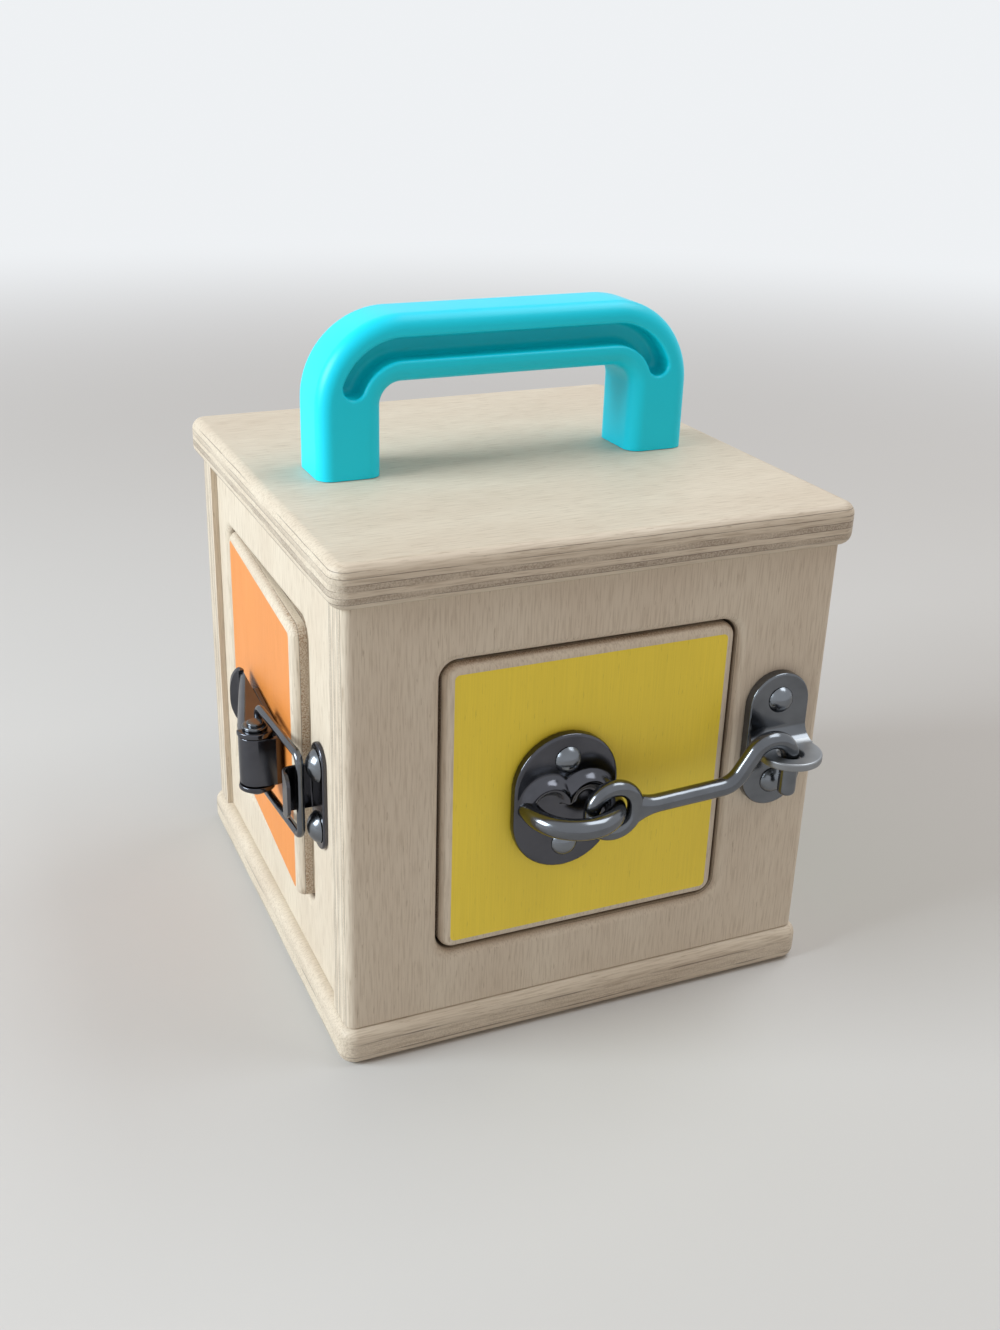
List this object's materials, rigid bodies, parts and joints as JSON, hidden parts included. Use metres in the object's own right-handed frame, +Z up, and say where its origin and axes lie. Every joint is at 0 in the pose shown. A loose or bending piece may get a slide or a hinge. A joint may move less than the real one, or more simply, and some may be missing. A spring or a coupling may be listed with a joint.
{
  "type": "lock box",
  "caption": "Plywood cube toy with a carrying handle and a hinged coloured door in each wall, each door held by a different metal latch for a child to work.",
  "frame": {"origin": "middle of the base board's underside", "axes": "+Z up, the front wall with the hook faces -Y, the wall with the toggle latch faces -X"},
  "size_m": [0.1775, 0.186, 0.2002],
  "materials": {
    "plywood": "bare birch plywood, lightly sealed",
    "yellow_paint": "plywood, face painted yellow with the grain showing",
    "orange_paint": "plywood, face painted orange with the grain showing",
    "green_paint": "plywood, face painted green with the grain showing",
    "blue_paint": "plywood, face painted blue with the grain showing",
    "handle_plastic": "satin moulded plastic",
    "nickel": "steel with a dark polished nickel plate",
    "steel": "plain steel"
  },
  "bodies": {
    "root": {"base_board": "plywood", "top_board": "plywood", "front_panel": "plywood", "left_panel": "plywood", "right_panel": "plywood", "back_panel": "plywood", "front_door_stop": "plywood", "left_door_stop": "plywood", "right_door_stop": "plywood", "back_door_stop": "plywood", "carry_handle": "handle_plastic", "handle_screw_left": "steel", "handle_screw_right": "steel", "front_door_upper_pin": "steel", "front_door_lower_pin": "steel", "left_door_upper_pin": "steel", "left_door_lower_pin": "steel", "right_door_upper_pin": "steel", "right_door_lower_pin": "steel", "back_door_upper_pin": "steel", "back_door_lower_pin": "steel", "hook_catch_plate": "nickel", "hook_catch_plate_rivet_upper": "nickel", "hook_catch_plate_rivet_lower": "nickel", "toggle_strike": "nickel", "toggle_strike_rivet_upper": "nickel", "toggle_strike_rivet_lower": "nickel", "bolt_keeper": "nickel", "bolt_keeper_rivet_upper": "nickel", "bolt_keeper_rivet_lower": "nickel", "hasp_staple_plate": "nickel", "hasp_staple_plate_rivet_upper": "nickel", "hasp_staple_plate_rivet_lower": "nickel"},
    "front_door": {"front_door": "yellow_paint", "hook_eye_plate": "nickel", "hook_staple": "nickel", "hook_eye_plate_rivet_upper": "nickel", "hook_eye_plate_rivet_lower": "nickel"},
    "left_door": {"left_door": "orange_paint", "toggle_base": "nickel", "toggle_pivot_pin": "nickel", "toggle_base_rivet_front": "nickel", "toggle_base_rivet_back": "nickel"},
    "right_door": {"right_door": "green_paint", "bolt_plate": "nickel", "bolt_plate_rivet_upper": "nickel", "bolt_plate_rivet_lower": "nickel"},
    "back_door": {"back_door": "blue_paint", "hasp_leaf": "nickel", "hasp_pin": "nickel", "hasp_leaf_rivet_upper": "nickel", "hasp_leaf_rivet_lower": "nickel"},
    "cabin_hook": {"cabin_hook": "nickel"},
    "toggle_lever": {"toggle_lever": "nickel"},
    "toggle_bail": {"toggle_bail": "nickel"},
    "slide_bolt": {"slide_bolt": "nickel"},
    "hasp_strap": {"hasp_strap": "nickel"},
    "hasp_turn_knob": {"hasp_turn_knob": "nickel"}
  },
  "joints": [
    {"name": "front_door_swing", "type": "hinge", "parent": "root", "child": "front_door", "pos_m": [-0.04075, -0.0707, 0.0765], "axis": [0, 0, -1], "range_deg": [0, 100]},
    {"name": "left_door_swing", "type": "hinge", "parent": "root", "child": "left_door", "pos_m": [-0.0682, 0.04675, 0.0765], "axis": [0, 0, -1], "range_deg": [0, 97]},
    {"name": "right_door_swing", "type": "hinge", "parent": "root", "child": "right_door", "pos_m": [0.0682, -0.04675, 0.0765], "axis": [0, 0, -1], "range_deg": [0, 100]},
    {"name": "back_door_swing", "type": "hinge", "parent": "root", "child": "back_door", "pos_m": [0.04075, 0.0707, 0.0765], "axis": [0, 0, -1], "range_deg": [0, 100]},
    {"name": "hook_lift", "type": "hinge", "parent": "front_door", "child": "cabin_hook", "pos_m": [-0.0002, -0.0873, 0.07545], "axis": [0, -1, 0], "range_deg": [0, 95]},
    {"name": "toggle_lever_swing", "type": "hinge", "parent": "left_door", "child": "toggle_lever", "pos_m": [-0.08429, -0.01977, 0.0742], "axis": [0, 0, 1], "range_deg": [0, 120]},
    {"name": "toggle_bail_swing", "type": "hinge", "parent": "toggle_lever", "child": "toggle_bail", "pos_m": [-0.08131, -0.01241, 0.0742], "axis": [0, 0, 1], "range_deg": [-101, 0]},
    {"name": "bolt_slide", "type": "slide", "parent": "right_door", "child": "slide_bolt", "axis": [0, 1, 0], "range_m": [0, 0.013]},
    {"name": "hasp_strap_swing", "type": "hinge", "parent": "back_door", "child": "hasp_strap", "pos_m": [-0.018, 0.0791, 0.0765], "axis": [0, 0, -1], "range_deg": [0, 150]},
    {"name": "hasp_knob_turn", "type": "hinge", "parent": "root", "child": "hasp_turn_knob", "pos_m": [-0.055, 0.08, 0.0765], "axis": [0, 1, 0], "range_deg": [0, 90]}
  ],
  "couplings": [
    {"joint": "toggle_bail_swing", "follows": "toggle_lever_swing", "ratio": -0.84}
  ]
}
